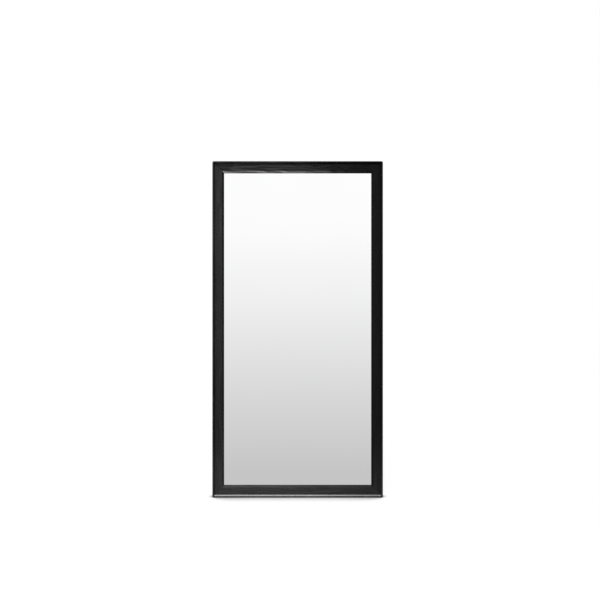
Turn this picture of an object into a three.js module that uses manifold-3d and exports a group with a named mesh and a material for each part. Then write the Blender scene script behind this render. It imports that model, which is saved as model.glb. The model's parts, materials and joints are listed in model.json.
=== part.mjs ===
// Pull-out closet mirror: a mitred wood frame with its mirror, hung by two hinges on a post that two
// ball-bearing telescopic slides carry out of a closet along its side panel.
// Millimetres. +X is the way the mirror pulls out, +Y points to the closet's side panel, +Z is up, and the
// mirror faces -Y. The origin is at the middle of the bottom of the whole object's box.
import * as THREE from "three";
import { mergeVertices } from "three/addons/utils/BufferGeometryUtils.js";
import Module from "manifold-3d";

const wasm = await Module();
wasm.setup();

// General clearances
const clearance = 0.3;
const overrun = 2;
const bendSteps = 3;
const roundSides = 12;

// Frame moulding: u runs inwards from the outer edge, v runs back from the front
const frameWidth = 507;
const frameHeight = 1000;
const stockWidth = 33;
const stockDepth = 30;
const lipWidth = 4.5;
const lipArris = 1.2;
const stepDepth = 11;
const quirkWidth = 1.5;
const quirkDepth = 1.5;
const bevelWidth = 6;
const bevelDepth = 3.5;
const sightDepth = 2.5;
const rebateWidth = 8;
const cornerRadius = 5;

// Ledge strip
const stripThickness = 1.2;
const stripSetback = 0.8;
const stripEndGap = 0.5;

// Mirror and its backing board
const glassThickness = 4;
const glassEdgeGap = 1;
const glassArris = 0.5;
const boardThickness = 3;

// Retaining clips of bent steel and their screws
const clipThickness = 1;
const clipWidth = 16;
const clipFoot = 16;
const clipToe = 12;
const clipLegGap = 0.7;
const clipHeightShares = [0.12, 0.5, 0.88];
const clipScrewRadius = 1.3;
const clipScrewLength = 11;
const clipHeadRadius = 3;
const clipHeadDepth = 1.3;

// Corner braces
const braceThickness = 1.5;
const braceWidth = 12;
const braceLength = 58;
const braceCornerRadius = 3;
const braceHoleRadius = 2;
const braceHoleInset = 8;
const braceHolePitch = 26;

// Swivel hinges
const hingeInset = 6;
const hingeGap = 1;
const hingeHeightShares = [0.2, 0.8];
const knuckleRadius = 5;
const knuckleHeight = 24;
const knuckleGap = 0.5;
const pinRadius = 2.3;
const pinHeadRadius = 3.6;
const pinHeadHeight = 2;
const leafThickness = 2;
const leafWidth = 18.5;
const leafCornerRadius = 1.5;
const leafScrewReach = 10;
const leafScrewRadius = 1.8;
const leafScrewLength = 14;
const leafHeadRadius = 3.4;
const leafHeadDepth = 1.6;
const leafScrewSpacing = 42;

// Swivel post
const postWidth = 24;
const postDepth = 17.2;
const postWall = 1.6;
const postLengthShare = 0.7;
const postCornerRadius = 2.5;
const capFlange = 3;
const capPlug = 14;
const capWall = 2;
const capPlugRadius = 1.3;
const capCoreRadius = 0.6;

// Brackets between the slides and the post
const bracketGap = 2.1;
const bracketThickness = 2;
const bracketHeight = 24;
const bracketOverlap = 106;
const bracketCornerRadius = 4;
const bracketScrewRadius = 1.9;
const bracketScrewLength = 8;
const bracketHeadRadius = 3.5;
const bracketHeadDepth = 1.6;
const bracketScrewSpacing = 13;
const bracketSlotLength = 12;
const bracketSlotInset = 16;
const bracketSlotPitch = 27;
const railScrewRadius = 1.9;
const railScrewLength = 5.5;
const railScrewHeadRadius = 4.2;
const railScrewHeadDepth = 1.6;

// Telescopic slides: in a section, z is the height from the middle and w the distance from the panel
const slideLength = 450;
const slideHeightShares = [0.3, 0.7];
const slideHeight = 46;
const postToRail = 11;
const outerSheet = 1.6;
const middleSheet = 1.5;
const innerSheet = 1.6;
const cageSheet = 1;
const cageSpacing = 0.5;
const bendRadius = 1.1;
const outerBallRadius = 1.9;
const innerBallRadius = 1.5;
const outerBallDepth = 8.4;
const innerBallDepth = 13.4;
const raceAngle = (50 * Math.PI) / 180;
const hookAngle = (60 * Math.PI) / 180;
const raceSteps = 5;
const outerFlangeEnd = 13;
const slideDepth = 18.6;
const cageLength = 200;
const cageStart = 125;
const cageArmPast = 2.4;
const ballsInRow = 7;
const ballSides = 6;
const ballRings = 4;
const cageWindowLength = 46;
const cageWindowHeight = 14;
const cageWindowRadius = 3.5;
const cageWindows = 3;
const railHoleRadius = 2.3;
const railSinkRadius = 4.2;
const railSinkDepth = 1.2;
const railHoleShares = [0.08, 0.36, 0.64, 0.92];
const accessHoleLength = 22;
const accessHoleHeight = 11;

// Rubber: rail bumpers and rest buffers
const bumperThickness = 3.4;
const bumperHalfHeight = 11;
const bumperDepth = 12;
const bufferRadius = 9;
const bufferTipRadius = 7;
const bufferRounding = 1.5;
const bufferHeightShares = [0.15, 0.85];
const bufferRecessRadius = 3;
const bufferRecessDepth = 6;

// Places that follow from the sizes above
const faceDepth = stepDepth;
const flatEnd = stockWidth - bevelWidth;
const rebateDepth = faceDepth + bevelDepth + sightDepth;
const glassFront = rebateDepth + clearance;
const boardFront = glassFront + glassThickness + clearance;
const boardBack = boardFront + boardThickness;
const seatWidth = stockWidth - rebateWidth;
const hingeX = frameWidth / 2 - hingeInset;
const hingeY = stockDepth + hingeGap + knuckleRadius;
const bracketFront = stockDepth + bracketGap;
const carriageFront = bracketFront + bracketThickness + clearance;
const objectDepth = carriageFront + slideDepth;
const frontY = -objectDepth / 2;
const postRight = hingeX - knuckleRadius - hingeGap;
const postLeft = postRight - postWidth;
const slideRight = postLeft - postToRail;
const slideLeft = slideRight - slideLength;
const hingeHeight = 3 * knuckleHeight + 2 * knuckleGap;

// Ball tracks of the slides
const outerRace = outerBallRadius + clearance;
const innerRace = innerBallRadius + clearance;
const outerTrack = outerRace + outerSheet / 2;
const outerBallHeight = slideHeight / 2 - outerSheet / 2 - outerTrack;
const outerShoulder = outerBallHeight + outerTrack * Math.cos(raceAngle);
const middleTrack = outerRace + middleSheet / 2;
const middleShoulder = outerBallHeight - middleTrack * Math.cos(raceAngle);
const middleHook = innerRace + middleSheet / 2;
const innerBallHeight = middleShoulder - middleHook;
const innerHook = innerRace + innerSheet / 2;
const innerShoulder = innerBallHeight - innerHook;
const outerCageDepth = outerSheet + cageSpacing + cageSheet / 2;
const middleWebDepth = outerCageDepth + cageSheet / 2 + cageSpacing + middleSheet / 2;
const innerCageDepth = middleWebDepth + middleSheet / 2 + cageSpacing + cageSheet / 2;
const innerWebDepth = slideDepth - innerSheet / 2;
const movingRailStart = bumperThickness + 2 * clearance;
const movingRailLength = slideLength - movingRailStart;
const railHolePlaces = railHoleShares.map((share) => share * slideLength);
const bracketLeft = slideRight - bracketOverlap;
const railScrewPlaces = [0, 1].map((i) => bracketLeft + bracketSlotInset + i * bracketSlotPitch);

// Finishes
const stainedWood = new THREE.MeshStandardMaterial({ color: 0x2b2a29, roughness: 0.55 });
const silvered = new THREE.MeshStandardMaterial({ color: 0xe8ebec, roughness: 0.02, metalness: 1 });
const satinAluminium = new THREE.MeshStandardMaterial({ color: 0xb9bbbd, roughness: 0.35, metalness: 1 });
const hardboard = new THREE.MeshStandardMaterial({ color: 0x6b4a30, roughness: 0.85 });
const zincSteel = new THREE.MeshStandardMaterial({ color: 0xa9adb0, roughness: 0.4, metalness: 1 });
const blackSteel = new THREE.MeshStandardMaterial({ color: 0x232426, roughness: 0.5, metalness: 0.3 });
const blackPlastic = new THREE.MeshStandardMaterial({ color: 0x1b1b1c, roughness: 0.6 });
const greyPlastic = new THREE.MeshStandardMaterial({ color: 0x8e9296, roughness: 0.6 });
const rubber = new THREE.MeshStandardMaterial({ color: 0x161616, roughness: 0.9 });

// A closed geometry as a solid to cut or join.
function solidOf(geometry) {
  const bare = geometry.clone();
  bare.deleteAttribute("normal");
  bare.deleteAttribute("uv");
  const merged = mergeVertices(bare);
  const vertProperties = new Float32Array(merged.attributes.position.array);
  const triVerts = new Uint32Array(merged.index.array);
  return new wasm.Manifold(new wasm.Mesh({ numProp: 3, vertProperties, triVerts }));
}

function geometryOf(solid) {
  const { vertProperties, triVerts } = solid.getMesh();
  const geometry = new THREE.BufferGeometry();
  geometry.setAttribute("position", new THREE.BufferAttribute(vertProperties, 3));
  geometry.setIndex(new THREE.BufferAttribute(triVerts, 1));
  geometry.computeVertexNormals();
  return geometry;
}

function cut(geometry, tools) {
  return geometryOf(tools.reduce((left, tool) => left.subtract(solidOf(tool)), solidOf(geometry)));
}

function join(geometries) {
  return geometryOf(geometries.map(solidOf).reduce((whole, piece) => whole.add(piece)));
}

// A named piece in its group.
function piece(group, name, geometry, material, x = 0, y = 0, z = 0) {
  const mesh = new THREE.Mesh(geometry, material);
  mesh.name = name;
  mesh.position.set(x, y, z);
  group.add(mesh);
  return mesh;
}

const ALONG_X = new THREE.Vector3(1, 0, 0);
const ALONG_Y = new THREE.Vector3(0, 1, 0);
const ALONG_Z = new THREE.Vector3(0, 0, 1);
const FORWARD = new THREE.Vector3(0, -1, 0);
const LEFTWARD = new THREE.Vector3(-1, 0, 0);

// An outline pushed into a prism, its own two directions laid along the ones given.
function prism(shape, length, across, up) {
  const settings = { depth: length, bevelEnabled: false, curveSegments: bendSteps };
  const geometry = new THREE.ExtrudeGeometry(shape, settings);
  const along = new THREE.Vector3().crossVectors(across, up);
  return geometry.applyMatrix4(new THREE.Matrix4().makeBasis(across, up, along));
}

function roundedRectangle(left, bottom, right, top, radius) {
  const shape = new THREE.Shape();
  shape.moveTo(left + radius, bottom);
  shape.lineTo(right - radius, bottom);
  shape.absarc(right - radius, bottom + radius, radius, -Math.PI / 2, 0);
  shape.lineTo(right, top - radius);
  shape.absarc(right - radius, top - radius, radius, 0, Math.PI / 2);
  shape.lineTo(left + radius, top);
  shape.absarc(left + radius, top - radius, radius, Math.PI / 2, Math.PI);
  shape.lineTo(left, bottom + radius);
  shape.absarc(left + radius, bottom + radius, radius, Math.PI, (3 * Math.PI) / 2);
  return shape;
}

// A slot with round ends, lying along x about a middle.
function roundSlot(middle, length, height) {
  const radius = height / 2;
  const reach = length / 2 - radius;
  const shape = new THREE.Shape();
  shape.absarc(middle + reach, 0, radius, -Math.PI / 2, Math.PI / 2);
  shape.absarc(middle - reach, 0, radius, Math.PI / 2, (3 * Math.PI) / 2);
  return shape;
}

// Points of an arc about a middle, from one angle to another.
function arc(x, y, radius, from, to, steps) {
  const angles = Array.from({ length: steps + 1 }, (_, i) => from + ((to - from) * i) / steps);
  return angles.map((a) => new THREE.Vector2(x + radius * Math.cos(a), y + radius * Math.sin(a)));
}

// The outline of sheet metal bent along a path.
function bentSheet(path, thickness) {
  const directions = path.slice(1).map((point, i) => point.clone().sub(path[i]).normalize());
  const offset = (side) =>
    path.map((point, i) => {
      const [into, out] = [directions[i - 1] ?? directions[i], directions[i] ?? directions[i - 1]];
      const normal = new THREE.Vector2(-into.y, into.x);
      const mitre = normal.clone().add(new THREE.Vector2(-out.y, out.x)).normalize();
      return point.clone().addScaledVector(mitre, (side * thickness) / 2 / mitre.dot(normal));
    });
  return new THREE.Shape([...offset(1), ...offset(-1).reverse()]);
}

// A path mirrored about the middle of its section.
function bothSides(half) {
  return [...half.map((point) => new THREE.Vector2(-point.x, point.y)).reverse(), ...half];
}

// A turned solid about +Y, from points of radius and height.
function turned(profile, sides = roundSides) {
  return new THREE.LatheGeometry(profile.map(([radius, height]) => new THREE.Vector2(radius, height)), sides);
}

function rod(radius, from, to, sides = roundSides) {
  return turned([[0, from], [radius, from], [radius, to], [0, to]], sides);
}

// A countersunk screw from its head at zero along +Y, and the hole that takes it.
function sunkScrew(radius, headRadius, headDepth, length) {
  return turned([[0, 0], [headRadius, 0], [radius, headDepth], [radius, length - radius], [0, length]]);
}

function sunkHole(radius, headRadius, headDepth, length) {
  const bore = radius + clearance;
  return turned([
    [0, -overrun],
    [headRadius + clearance, -overrun],
    [headRadius + clearance, 0],
    [bore, headDepth],
    [bore, length + overrun],
    [0, length + overrun],
  ]);
}

// A pan-head screw whose head sits above zero and whose shank runs down to minus its length.
function panScrew(radius, headRadius, headDepth, length) {
  return turned([[0, -length], [radius, radius - length], [radius, 0], [headRadius, 0],
    [headRadius, headDepth / 2], [headRadius / 2, headDepth], [0, headDepth]]);
}

// A length of frame moulding with both ends mitred: x is u, y is v, and it is centred along z.
function moulding(length, span) {
  const lip = [
    ...arc(lipArris, lipArris, lipArris, Math.PI, 1.5 * Math.PI, bendSteps),
    ...arc(lipWidth - lipArris, lipArris, lipArris, 1.5 * Math.PI, 2 * Math.PI, bendSteps),
  ];
  const inside = [
    [lipWidth, faceDepth + quirkDepth],
    [lipWidth + quirkWidth, faceDepth + quirkDepth],
    [lipWidth + quirkWidth, faceDepth],
    [flatEnd, faceDepth],
    [stockWidth, faceDepth + bevelDepth],
    [stockWidth, rebateDepth],
    [seatWidth, rebateDepth],
    [seatWidth, stockDepth],
    [0, stockDepth],
  ].map(([u, v]) => new THREE.Vector2(u, v));
  const profile = new THREE.Shape([...lip, ...inside]);
  const stick = new THREE.ExtrudeGeometry(profile, { depth: 1, bevelEnabled: false });
  const ends = stick.attributes.position;
  const reach = length / 2 - clearance / Math.SQRT2;
  for (let i = 0; i < ends.count; i++) ends.setZ(i, (ends.getZ(i) > 0 ? 1 : -1) * (reach - ends.getX(i)));
  const outline = roundedRectangle(-length / 2, -span, length / 2, 0, cornerRadius);
  const block = prism(outline, stockDepth + 2 * overrun, ALONG_Z, LEFTWARD);
  block.translate(0, stockDepth + overrun, 0);
  return geometryOf(solidOf(stick).intersect(solidOf(block)));
}

export default buildMirror();

function buildMirror() {
  const whole = new THREE.Group();
  const fromFront = new THREE.Group();
  fromFront.position.y = frontY;
  whole.add(fromFront);
  addFrame(fromFront);
  addGlazing(fromFront);
  addBacks(fromFront);
  addHinges(fromFront);
  addPost(fromFront);
  slideHeightShares.forEach((share, i) => {
    const level = ["lower", "upper"][i];
    addBracket(fromFront, level, share * frameHeight);
    addSlide(fromFront, level, share * frameHeight);
  });
  return whole;
}

// Holes for the clip screws in a stile, in the moulding's own directions.
function clipHoles() {
  const seat = seatWidth - clipFoot / 2;
  return clipHeightShares.map((share) =>
    rod(clipScrewRadius + clearance, stockDepth - clipScrewLength, stockDepth + overrun)
      .translate(seat, 0, (share - 1 / 2) * frameHeight));
}

// Holes for the hinges' leaf screws in the right stile, which is the same moulding turned over.
function leafHoles() {
  return hingeHeightShares.flatMap((share) => [-1, 1].map((side) =>
    rod(leafScrewRadius + clearance, stockDepth - leafScrewLength, stockDepth + overrun)
      .translate(hingeInset + leafScrewReach, 0,
        -((share - 1 / 2) * frameHeight + (side * leafScrewSpacing) / 2))));
}

function addFrame(group) {
  const stile = moulding(frameHeight, frameWidth);
  const rail = moulding(frameWidth, frameHeight);
  const [halfWidth, halfHeight] = [frameWidth / 2, frameHeight / 2];
  piece(group, "frame_left_stile", cut(stile, clipHoles()), stainedWood, -halfWidth, 0, halfHeight);
  const right = piece(group, "frame_right_stile", cut(stile, [...clipHoles(), ...leafHoles()]), stainedWood,
    halfWidth, 0, halfHeight);
  right.rotation.y = Math.PI;
  const top = piece(group, "frame_top_rail", rail, stainedWood, 0, 0, frameHeight);
  top.rotation.y = Math.PI / 2;
  const bottom = piece(group, "frame_bottom_rail", rail, stainedWood, 0, 0, 0);
  bottom.rotation.y = -Math.PI / 2;
  const side = (quirkWidth - stripThickness) / 2;
  const stripLength = frameWidth - 2 * (lipWidth + stripEndGap);
  const depth = faceDepth + quirkDepth - clearance - stripSetback;
  const strip = new THREE.BoxGeometry(stripLength, depth, stripThickness);
  piece(group, "ledge_strip", strip, satinAluminium, 0, stripSetback + depth / 2,
    lipWidth + side + stripThickness / 2);
}

function addGlazing(group) {
  const [width, height] = [frameWidth, frameHeight].map((side) => side - 2 * (seatWidth + glassEdgeGap));
  const outline = roundedRectangle(-width / 2 + glassArris, -height / 2 + glassArris, width / 2 - glassArris,
    height / 2 - glassArris, glassArris);
  const glass = new THREE.ExtrudeGeometry(outline, { depth: glassThickness - 2 * glassArris,
    bevelSize: glassArris, bevelThickness: glassArris, bevelSegments: 1, curveSegments: 1 });
  glass.rotateX(Math.PI / 2);
  piece(group, "mirror_glass", glass, silvered, 0, glassFront + glassThickness - glassArris, frameHeight / 2);
  piece(group, "backing_board", new THREE.BoxGeometry(width, boardThickness, height), hardboard, 0,
    boardFront + boardThickness / 2, frameHeight / 2);
}

// Clips, their screws, corner braces and rest buffers on the back of the frame.
function addBacks(group) {
  const foot = stockDepth + clearance + clipThickness / 2;
  const toe = boardBack + clearance + clipThickness / 2;
  const leg = seatWidth + clipLegGap + clipThickness / 2;
  const path = [[seatWidth - clipFoot, foot], [leg, foot], [leg, toe], [leg + clipToe, toe]];
  const outline = bentSheet(path.map(([u, v]) => new THREE.Vector2(u, v)), clipThickness);
  const hole = rod(clipScrewRadius + clearance, stockDepth, foot + overrun);
  hole.translate(seatWidth - clipFoot / 2, 0, clipWidth / 2);
  const clip = cut(prism(outline, clipWidth, ALONG_X, ALONG_Y), [hole]);
  clip.translate(0, 0, -clipWidth / 2);
  const screw = panScrew(clipScrewRadius, clipHeadRadius, clipHeadDepth, clipScrewLength);
  for (const [side, turn] of [["left", 0], ["right", Math.PI]])
    clipHeightShares.forEach((share, i) => {
      const place = new THREE.Group();
      place.position.set((side === "left" ? -frameWidth : frameWidth) / 2, 0, share * frameHeight);
      place.rotation.y = turn;
      group.add(place);
      const name = `${side}_${["lower", "middle", "upper"][i]}`;
      piece(place, `retaining_clip_${name}`, clip, zincSteel);
      piece(place, `clip_screw_${name}`, screw, zincSteel, seatWidth - clipFoot / 2,
        stockDepth + 2 * clearance + clipThickness, 0);
    });
  const braceAt = (seatWidth - braceWidth) / 2;
  for (const [side, sx] of [["left", -1], ["right", 1]])
    for (const [end, sz] of [["bottom", -1], ["top", 1]])
      piece(group, `corner_brace_${end}_${side}`, brace(sx, sz), zincSteel, sx * (frameWidth / 2 - braceAt),
        stockDepth + clearance, frameHeight / 2 + sz * (frameHeight / 2 - braceAt));
  const bufferLength = objectDepth - stockDepth - 2 * clearance;
  const buffer = turned([[0, 0], [bufferRadius, 0], [bufferTipRadius, bufferLength - bufferRounding],
    [bufferTipRadius - bufferRounding, bufferLength], [bufferRecessRadius, bufferLength],
    [bufferRecessRadius, bufferLength - bufferRecessDepth], [0, bufferLength - bufferRecessDepth]]);
  bufferHeightShares.forEach((share, i) =>
    piece(group, `rest_buffer_${["lower", "upper"][i]}`, buffer, rubber, -frameWidth / 2 + seatWidth / 2,
      stockDepth + clearance, share * frameHeight));
}

// An L-shaped brace whose outer corner is at its origin and whose arms run in from it.
function brace(sx, sz) {
  const across = roundedRectangle(0, 0, braceLength, braceWidth, braceCornerRadius);
  const up = roundedRectangle(0, 0, braceWidth, braceLength, braceCornerRadius);
  const arms = [across, up].map((shape) => prism(shape, braceThickness, ALONG_Z, ALONG_X));
  const holes = [braceLength - braceHoleInset, braceLength - braceHoleInset - braceHolePitch].flatMap((far) =>
    [[far, braceWidth / 2], [braceWidth / 2, far]].map(([x, z]) =>
      rod(braceHoleRadius, -overrun, braceThickness + overrun).translate(x, 0, z)));
  const plate = cut(join(arms), holes);
  if (sx > 0) plate.rotateZ(Math.PI).translate(0, braceThickness, 0);
  if (sz > 0) plate.rotateX(Math.PI).translate(0, braceThickness, 0);
  return plate;
}

// Hinges about the line at hingeX, hingeY: the moving leaf has the outer knuckles and the fixed leaf the
// middle one.
function addHinges(group) {
  const bottoms = [0, 1, 2].map((i) => i * (knuckleHeight + knuckleGap) - hingeHeight / 2);
  const knuckle = (from) => rod(knuckleRadius, 0, knuckleHeight).rotateX(Math.PI / 2).translate(0, 0, from);
  const bore = rod(pinRadius + clearance, -overrun, hingeHeight + overrun).rotateX(Math.PI / 2)
    .translate(0, 0, -hingeHeight / 2);
  const roomSide = 2 * (knuckleRadius + knuckleGap);
  const room = (from) => new THREE.BoxGeometry(roomSide, roomSide, knuckleHeight + 2 * knuckleGap)
    .translate(0, 0, from + knuckleHeight / 2);
  const movingFront = stockDepth + clearance - hingeY;
  const moving = roundedRectangle(-leafWidth, -hingeHeight / 2, 0, hingeHeight / 2, leafCornerRadius);
  const movingPlate = prism(moving, leafThickness, ALONG_X, ALONG_Z)
    .translate(0, movingFront + leafThickness, 0);
  const movingHoles = [-1, 1].map((side) =>
    sunkHole(leafScrewRadius, leafHeadRadius, leafHeadDepth, leafThickness).rotateX(Math.PI)
      .translate(-leafScrewReach, movingFront + leafThickness, (side * leafScrewSpacing) / 2));
  const movingLeaf = cut(join([movingPlate, knuckle(bottoms[0]), knuckle(bottoms[2])]),
    [room(bottoms[1]), bore, ...movingHoles]);
  const fixedLeft = postRight + clearance - hingeX;
  const fixedBack = carriageFront + postDepth - hingeY - postCornerRadius;
  const fixedFront = carriageFront + postCornerRadius - hingeY;
  const fixed = roundedRectangle(fixedFront, -hingeHeight / 2, fixedBack, hingeHeight / 2, leafCornerRadius);
  const fixedPlate = prism(fixed, leafThickness, ALONG_Y, ALONG_Z).translate(fixedLeft, 0, 0);
  const fixedLeaf = cut(join([fixedPlate, knuckle(bottoms[1])]), [room(bottoms[0]), room(bottoms[2]), bore]);
  const pin = join([
    rod(pinRadius, -hingeHeight / 2, hingeHeight / 2 + clearance),
    rod(pinHeadRadius, hingeHeight / 2 + clearance, hingeHeight / 2 + clearance + pinHeadHeight),
  ]).rotateX(Math.PI / 2);
  hingeHeightShares.forEach((share, i) => {
    const level = ["lower", "upper"][i];
    const at = new THREE.Group();
    at.position.set(hingeX, hingeY, share * frameHeight);
    group.add(at);
    piece(at, `hinge_moving_leaf_${level}`, movingLeaf, blackSteel);
    piece(at, `hinge_fixed_leaf_${level}`, fixedLeaf, blackSteel);
    piece(at, `hinge_pin_${level}`, pin, zincSteel);
    [-1, 1].forEach((side, n) => {
      const screw = piece(at, `leaf_screw_${level}_${n + 1}`,
        sunkScrew(leafScrewRadius, leafHeadRadius, leafHeadDepth, leafScrewLength - clearance), zincSteel,
        -leafScrewReach, movingFront + leafThickness, (side * leafScrewSpacing) / 2);
      screw.rotation.x = Math.PI;
    });
  });
}

function postSpan() {
  const length = postLengthShare * frameHeight;
  return [(frameHeight - length) / 2, (frameHeight + length) / 2];
}

function addPost(group) {
  const [bottom, top] = postSpan();
  const tube = roundedRectangle(0, 0, postWidth, postDepth, postCornerRadius);
  const inside = roundedRectangle(postWall, postWall, postWidth - postWall, postDepth - postWall,
    postCornerRadius - postWall);
  tube.holes.push(inside);
  const holes = slideHeightShares.flatMap((share) => [-1, 1].map((side) =>
    rod(bracketScrewRadius + clearance, -overrun, postWall + overrun)
      .translate(postWidth / 2, 0, share * frameHeight + (side * bracketScrewSpacing) / 2 - bottom)));
  const post = cut(prism(tube, top - bottom, ALONG_X, ALONG_Y), holes);
  piece(group, "swivel_post", post, blackSteel, postLeft, carriageFront, bottom);
  const gap = postWall + clearance;
  const plug = roundedRectangle(gap, gap, postWidth - gap, postDepth - gap, capPlugRadius);
  const core = gap + capWall;
  plug.holes.push(roundedRectangle(core, core, postWidth - core, postDepth - core, capCoreRadius));
  const flange = roundedRectangle(0, 0, postWidth, postDepth, postCornerRadius);
  const lid = prism(flange, capFlange, ALONG_X, ALONG_Y);
  const stem = prism(plug, capPlug + capFlange - clearance, ALONG_X, ALONG_Y).translate(0, 0, clearance);
  const cap = join([lid, stem]);
  piece(group, "post_cap_lower", cap, blackPlastic, postLeft, carriageFront, bottom - capFlange - clearance);
  const upper = piece(group, "post_cap_upper", cap, blackPlastic, postLeft, carriageFront + postDepth,
    top + capFlange + clearance);
  upper.rotation.x = Math.PI;
}

// A flat bracket on the front of the inner rail and of the post: two countersunk screws hold it to the post
// and two pan-head screws in slots hold it to the rail, so that the mirror can be set to its place.
function addBracket(group, level, height) {
  const right = postRight - postCornerRadius;
  const halfHeight = bracketHeight / 2;
  const outline = roundedRectangle(bracketLeft, -halfHeight, right, halfHeight, bracketCornerRadius);
  const screwX = postLeft + postWidth / 2;
  const sinks = [-1, 1].map((side) =>
    sunkHole(bracketScrewRadius, bracketHeadRadius, bracketHeadDepth, bracketThickness)
      .translate(screwX, 0, (side * bracketScrewSpacing) / 2));
  const slots = railScrewPlaces.map((x) =>
    prism(roundSlot(x, bracketSlotLength, 2 * (railScrewRadius + clearance)), bracketThickness + 2 * overrun,
      ALONG_X, ALONG_Z).translate(0, bracketThickness + overrun, 0));
  const plate = prism(outline, bracketThickness, ALONG_X, ALONG_Z).translate(0, bracketThickness, 0);
  const cutPlate = cut(plate, [...sinks, ...slots]);
  piece(group, `slide_bracket_${level}`, cutPlate, blackSteel, 0, bracketFront, height);
  [-1, 1].forEach((side, n) =>
    piece(group, `bracket_screw_${level}_${n + 1}`,
      sunkScrew(bracketScrewRadius, bracketHeadRadius, bracketHeadDepth, bracketScrewLength), zincSteel,
      screwX, bracketFront, height + (side * bracketScrewSpacing) / 2));
  const railScrew = panScrew(railScrewRadius, railScrewHeadRadius, railScrewHeadDepth, railScrewLength);
  railScrewPlaces.forEach((x, n) => {
    const screw = piece(group, `rail_screw_${level}_${n + 1}`, railScrew, zincSteel, x,
      bracketFront - clearance, height);
    screw.rotation.x = Math.PI;
  });
}

// A section pushed along +X, in the slide's own group: height is z, distance from the panel is -y.
function railFrom(path, thickness, length) {
  return prism(bentSheet(path, thickness), length, ALONG_Z, FORWARD);
}

function outerRail() {
  const bend = arc(outerShoulder - bendRadius, outerSheet / 2 + bendRadius, bendRadius, -Math.PI / 2, 0,
    bendSteps);
  const race = arc(outerBallHeight, outerBallDepth, outerTrack, -raceAngle, raceAngle, raceSteps);
  const half = [...bend, ...race, new THREE.Vector2(outerShoulder, outerFlangeEnd)];
  const holes = railHolePlaces.map((x) =>
    sunkHole(railHoleRadius - clearance, railSinkRadius - clearance, railSinkDepth, outerSheet)
      .translate(x, -outerSheet, 0));
  return cut(railFrom(bothSides(half), outerSheet, slideLength), holes);
}

function middleRail() {
  const bend = arc(middleShoulder - bendRadius, middleWebDepth + bendRadius, bendRadius, -Math.PI / 2, 0,
    bendSteps);
  const race = arc(outerBallHeight, outerBallDepth, middleTrack, Math.PI + raceAngle, Math.PI - raceAngle,
    raceSteps);
  const hook = arc(innerBallHeight, innerBallDepth, middleHook, 0, hookAngle, raceSteps);
  const rail = railFrom(bothSides([...bend, ...race, ...hook]), middleSheet, movingRailLength);
  return cut(rail, accessHoles(middleWebDepth));
}

function innerRail() {
  const bend = arc(innerShoulder - bendRadius, innerWebDepth - bendRadius, bendRadius, Math.PI / 2, 0,
    bendSteps);
  const hook = arc(innerBallHeight, innerBallDepth, innerHook, Math.PI, Math.PI + hookAngle, raceSteps);
  const rail = railFrom(bothSides([...bend, ...hook]), innerSheet, movingRailLength);
  const screwHoles = railScrewPlaces.map((x) =>
    rod(railScrewRadius + clearance, -slideDepth - overrun, innerSheet + overrun - slideDepth)
      .translate(x - slideLeft - movingRailStart, 0, 0));
  return cut(rail, [...accessHoles(innerWebDepth), ...screwHoles]);
}

// Openings in a moving rail's web, in line with the fixing holes behind them.
function accessHoles(depth) {
  return railHolePlaces.map((x) => {
    const at = x - movingRailStart;
    return prism(roundSlot(at, accessHoleLength, accessHoleHeight), 2 * overrun, ALONG_X, ALONG_Z)
      .translate(0, overrun - depth, 0);
  });
}

// A ball cage: a bent strip whose two arms each hold a row of balls.
function cage(webDepth, ballHeight, ballDepth, ballRadius) {
  const corner = new THREE.Vector2(ballHeight, webDepth);
  const half = [corner, new THREE.Vector2(ballHeight, ballDepth + cageArmPast)];
  const strip = railFrom(bothSides(half), cageSheet, cageLength);
  const windows = Array.from({ length: cageWindows }, (_, i) => {
    const middle = ((i + 1 / 2) * cageLength) / cageWindows;
    const [halfLength, halfHeight] = [cageWindowLength / 2, cageWindowHeight / 2];
    const opening = roundedRectangle(middle - halfLength, -halfHeight, middle + halfLength, halfHeight,
      cageWindowRadius);
    return prism(opening, 2 * overrun, ALONG_X, ALONG_Z).translate(0, overrun - webDepth, 0);
  });
  const ballPlaces = Array.from({ length: ballsInRow }, (_, i) => ((i + 1 / 2) * cageLength) / ballsInRow);
  const balls = ballPlaces.flatMap((x) => [-1, 1].map((side) =>
    new THREE.SphereGeometry(ballRadius, ballSides, ballRings).translate(x, -ballDepth, side * ballHeight)));
  return join([cut(strip, windows), ...balls]);
}

function addSlide(group, level, height) {
  const slide = new THREE.Group();
  slide.position.set(slideLeft, objectDepth, height);
  group.add(slide);
  piece(slide, `outer_rail_${level}`, outerRail(), zincSteel);
  piece(slide, `middle_rail_${level}`, middleRail(), zincSteel, movingRailStart);
  piece(slide, `inner_rail_${level}`, innerRail(), zincSteel, movingRailStart);
  const outerCage = cage(outerCageDepth, outerBallHeight, outerBallDepth, outerBallRadius);
  const innerCage = cage(innerCageDepth, innerBallHeight, innerBallDepth, innerBallRadius);
  piece(slide, `outer_ball_cage_${level}`, outerCage, greyPlastic, cageStart);
  piece(slide, `inner_ball_cage_${level}`, innerCage, greyPlastic, cageStart);
  const bumper = new THREE.BoxGeometry(bumperThickness, bumperDepth, 2 * bumperHalfHeight);
  piece(slide, `rail_bumper_${level}`, bumper, rubber, clearance + bumperThickness / 2,
    -outerSheet - clearance - bumperDepth / 2, 0);
}
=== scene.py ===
import json
import math

import bmesh
import bpy
from mathutils import Matrix, Vector


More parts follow.
